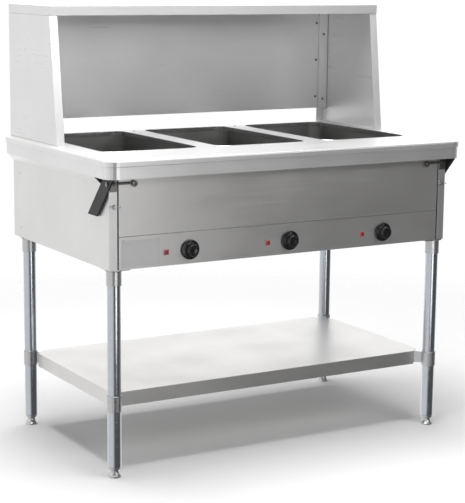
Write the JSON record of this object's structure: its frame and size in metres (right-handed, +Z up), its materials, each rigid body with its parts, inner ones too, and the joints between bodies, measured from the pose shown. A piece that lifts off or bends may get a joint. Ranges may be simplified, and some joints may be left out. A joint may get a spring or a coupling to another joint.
{
  "type": "steam table",
  "caption": "Free-standing open-well electric steam table of sheet steel with a sneeze guard, round tube legs on levelling feet, and an undershelf.",
  "frame": {"origin": "on the floor, at the centre of the footprint of the whole object's box", "axes": "+X to the right seen from the control side, +Y towards the back, +Z up; the controls face -Y"},
  "size_m": [1.186, 0.736, 1.286],
  "materials": {
    "stainless": "fine brushed stainless sheet",
    "guard_steel": "fine brushed stainless sheet, lighter and smoother",
    "zinc_tube": "bright zinc-plated round tube with a bluish cast",
    "zinc_part": "zinc-plated steel, satin",
    "liner_steel": "dull drawn steel",
    "element_steel": "heat-darkened steel sheath",
    "black_plastic": "glossy black thermoset",
    "black_steel": "satin black coating",
    "red_lens": "dark red translucent lens",
    "plate_foil": "blank matt foil",
    "switch_body": "moulded phenolic",
    "nylon": "moulded nylon"
  },
  "bodies": {
    "table": {"top_deck": "stainless", "well_liner_1": "liner_steel", "heating_element_1": "element_steel", "infinite_switch_1": "switch_body", "pilot_light_1": "red_lens", "well_liner_2": "liner_steel", "heating_element_2": "element_steel", "infinite_switch_2": "switch_body", "pilot_light_2": "red_lens", "well_liner_3": "liner_steel", "heating_element_3": "element_steel", "infinite_switch_3": "switch_body", "pilot_light_3": "red_lens", "front_panel": "stainless", "control_panel": "stainless", "back_panel": "stainless", "bottom_panel": "stainless", "undershelf": "stainless", "data_plate": "plate_foil", "terminal_block": "switch_body", "cord_inlet_gland": "nylon", "guard_top_shelf": "guard_steel", "guard_back_panel": "guard_steel", "side_panel_left": "stainless", "guard_side_left": "guard_steel", "guard_post_left": "guard_steel", "arm_pivot_left": "zinc_part", "side_panel_right": "stainless", "guard_side_right": "guard_steel", "guard_post_right": "guard_steel", "arm_pivot_right": "zinc_part", "leg_socket_front_left": "zinc_part", "leg_front_left": "zinc_tube", "shelf_socket_front_left": "zinc_part", "leg_socket_front_right": "zinc_part", "leg_front_right": "zinc_tube", "shelf_socket_front_right": "zinc_part", "leg_socket_back_left": "zinc_part", "leg_back_left": "zinc_tube", "shelf_socket_back_left": "zinc_part", "leg_socket_back_right": "zinc_part", "leg_back_right": "zinc_tube", "shelf_socket_back_right": "zinc_part"},
    "knob_1": {"control_knob_1": "black_plastic", "control_shaft_1": "zinc_part"},
    "knob_2": {"control_knob_2": "black_plastic", "control_shaft_2": "zinc_part"},
    "knob_3": {"control_knob_3": "black_plastic", "control_shaft_3": "zinc_part"},
    "foot_front_left": {"foot_front_left": "zinc_part"},
    "foot_front_right": {"foot_front_right": "zinc_part"},
    "foot_back_left": {"foot_back_left": "zinc_part"},
    "foot_back_right": {"foot_back_right": "zinc_part"},
    "arm_left": {"shelf_arm_left": "black_steel"},
    "wing_left": {"wing_bolt_left": "zinc_part"},
    "arm_right": {"shelf_arm_right": "black_steel"},
    "wing_right": {"wing_bolt_right": "zinc_part"}
  },
  "joints": [
    {"name": "heat_control_1", "type": "hinge", "parent": "table", "child": "knob_1", "pos_m": [-0.318, -0.3195, 0.628], "axis": [0, -1, 0], "range_deg": [-330, 0]},
    {"name": "heat_control_2", "type": "hinge", "parent": "table", "child": "knob_2", "pos_m": [0.009, -0.3195, 0.628], "axis": [0, -1, 0], "range_deg": [-330, 0]},
    {"name": "heat_control_3", "type": "hinge", "parent": "table", "child": "knob_3", "pos_m": [0.336, -0.3195, 0.628], "axis": [0, -1, 0], "range_deg": [-330, 0]},
    {"name": "level_front_left", "type": "slide", "parent": "table", "child": "foot_front_left", "axis": [0, 0, -1], "range_m": [0, 0.025]},
    {"name": "level_front_right", "type": "slide", "parent": "table", "child": "foot_front_right", "axis": [0, 0, -1], "range_m": [0, 0.025]},
    {"name": "level_back_left", "type": "slide", "parent": "table", "child": "foot_back_left", "axis": [0, 0, -1], "range_m": [0, 0.025]},
    {"name": "level_back_right", "type": "slide", "parent": "table", "child": "foot_back_right", "axis": [0, 0, -1], "range_m": [0, 0.025]},
    {"name": "arm_swing_left", "type": "hinge", "parent": "table", "child": "arm_left", "pos_m": [-0.571, -0.324, 0.825], "axis": [-1, 0, 0], "range_deg": [0, 132]},
    {"name": "arm_swing_right", "type": "hinge", "parent": "table", "child": "arm_right", "pos_m": [0.571, -0.324, 0.825], "axis": [-1, 0, 0], "range_deg": [0, 132]},
    {"name": "wing_turn_left", "type": "hinge", "parent": "table", "child": "wing_left", "pos_m": [-0.549, -0.3184, 0.762], "axis": [0, -1, 0], "range_deg": [-360, 0]},
    {"name": "wing_turn_right", "type": "hinge", "parent": "table", "child": "wing_right", "pos_m": [0.549, -0.3184, 0.762], "axis": [0, -1, 0], "range_deg": [-360, 0]}
  ]
}
